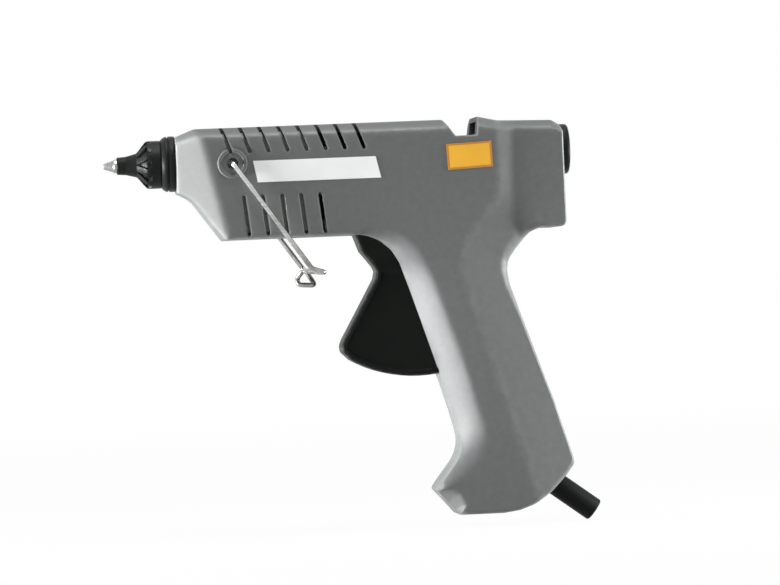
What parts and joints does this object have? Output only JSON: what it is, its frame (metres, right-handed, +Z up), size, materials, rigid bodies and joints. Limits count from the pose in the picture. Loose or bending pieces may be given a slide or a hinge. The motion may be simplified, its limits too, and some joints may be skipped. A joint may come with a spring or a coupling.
{
  "type": "hot glue applicator",
  "caption": "Pistol-shaped hot glue applicator with a finned nozzle cap, slotted barrel, swinging trigger that feeds the glue stick, and a folding wire stand.",
  "frame": {"origin": "mouth of the nozzle's glue outlet, the tool's working point", "axes": "+X back along the glue stick towards the inlet, +Z up with the barrel level and the handle below, near side is -Y"},
  "size_m": [0.2422, 0.0588, 0.2037],
  "materials": {
    "housing_grey": "fine spark-eroded moulded texture, satin",
    "zinc_steel": "zinc plated",
    "nozzle_steel": "turned",
    "spring_steel": "drawn wire",
    "black_insulator": "moulded, satin",
    "cast_aluminium": "die cast",
    "heater_steel": "drawn tube",
    "thermostat_metal": "pressed",
    "shield_steel": "rolled sheet",
    "support_board": "heat resistant board",
    "silicone": "moulded",
    "guide_plastic": "moulded",
    "trigger_black": "moulded, satin",
    "bright_wire": "bright drawn wire",
    "white_label": "printed film, bare",
    "amber_label": "printed film, bare",
    "sleeve_rubber": "moulded",
    "terminal_plastic": "moulded",
    "terminal_brass": "turned",
    "lead_insulation": "silicone insulated"
  },
  "bodies": {
    "gun": {"left_housing": "housing_grey", "right_housing": "housing_grey", "housing_screws": "zinc_steel", "nozzle_tip": "nozzle_steel", "valve_ball": "zinc_steel", "valve_spring": "spring_steel", "nozzle_cap": "black_insulator", "nose_collar": "black_insulator", "melt_chamber": "cast_aluminium", "heater_cartridges": "heater_steel", "thermostat": "thermostat_metal", "thermal_fuse": "thermostat_metal", "heat_shield": "shield_steel", "chamber_supports": "support_board", "inlet_sleeve": "silicone", "sleeve_clamp": "zinc_steel", "stick_guide": "guide_plastic", "inlet_collar": "black_insulator", "trigger_pin": "zinc_steel", "return_spring": "spring_steel", "name_plate": "white_label", "rating_label": "amber_label", "cable_sleeve": "sleeve_rubber", "cable_clamp": "guide_plastic", "clamp_screws": "zinc_steel", "terminal_block": "terminal_plastic", "terminal_screws": "terminal_brass", "heater_leads": "lead_insulation"},
    "trigger": {"trigger": "trigger_black", "feed_pin": "zinc_steel"},
    "carriage": {"feed_carriage": "guide_plastic", "gripper_pin": "zinc_steel"},
    "gripper": {"stick_gripper": "zinc_steel"},
    "stand": {"stand_wire": "bright_wire"}
  },
  "joints": [
    {"name": "trigger_pull", "type": "hinge", "parent": "gun", "child": "trigger", "pos_m": [0.1517, 0, -0.0464], "axis": [0, -1, 0], "range_deg": [0, 25], "stiffness_Nm_per_rad": 0.5, "springref_deg": -17.19},
    {"name": "carriage_slide", "type": "slide", "parent": "gun", "child": "carriage", "axis": [-1, 0, 0], "range_m": [0, 0.0127], "deforming": ["return_spring"]},
    {"name": "gripper_tilt", "type": "hinge", "parent": "carriage", "child": "gripper", "pos_m": [0.15098, 0, -0.018], "axis": [0, -1, 0], "range_deg": [0, 8.2]},
    {"name": "stand_swing", "type": "hinge", "parent": "gun", "child": "stand", "pos_m": [0.0627, 0, -0.0015], "axis": [0, 1, 0], "range_deg": [-14, 90]}
  ],
  "couplings": [
    {"joint": "carriage_slide", "follows": "trigger_pull", "m_per_rad": 0.02877},
    {"joint": "gripper_tilt", "follows": "trigger_pull", "ratio": 0.32}
  ]
}
